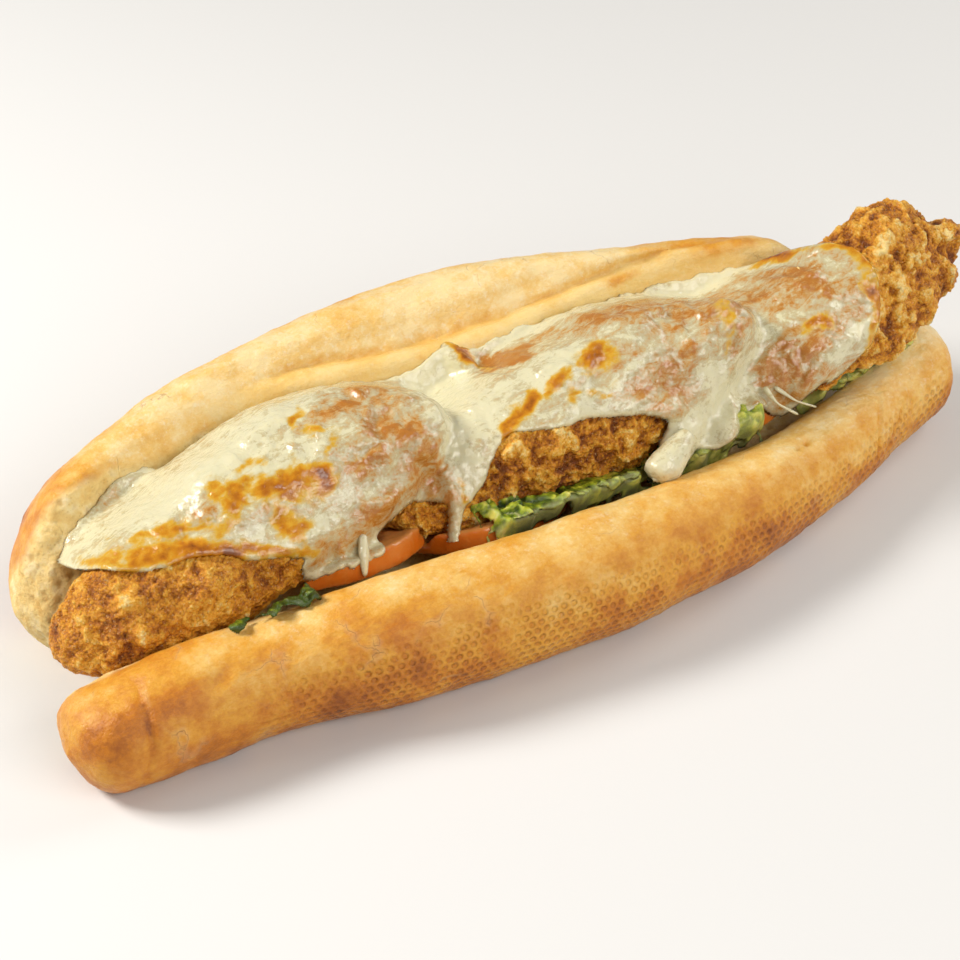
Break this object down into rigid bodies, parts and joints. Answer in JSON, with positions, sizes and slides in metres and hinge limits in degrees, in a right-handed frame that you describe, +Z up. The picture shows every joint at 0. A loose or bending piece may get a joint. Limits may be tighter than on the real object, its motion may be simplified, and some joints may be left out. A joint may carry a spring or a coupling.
{
  "type": "submarine sandwich",
  "caption": "Long crusty roll opened along its side, filled with breaded chicken under melted browned cheese, with tomato and lettuce along the front.",
  "frame": {"origin": "on the table, under the middle of the sandwich's bounding box", "axes": "+X along the roll towards the tender that sticks out, +Y towards the back half of the roll, +Z up"},
  "size_m": [0.3106, 0.139, 0.07],
  "materials": {
    "bread": "matte golden crust with pale crumb on the cut faces",
    "breaded_chicken": "rough fried breading",
    "melted_cheese": "soft gloss, browned in spots",
    "tomato": "wet gloss",
    "lettuce": "satin leaf"
  },
  "bodies": {
    "root": {"roll": "bread", "chicken_left": "breaded_chicken", "chicken_middle": "breaded_chicken", "chicken_right": "breaded_chicken", "cheese": "melted_cheese", "tomato_1": "tomato", "tomato_2": "tomato", "tomato_3": "tomato", "tomato_4": "tomato", "lettuce_1": "lettuce", "lettuce_2": "lettuce", "lettuce_3": "lettuce", "lettuce_4": "lettuce"}
  },
  "joints": []
}
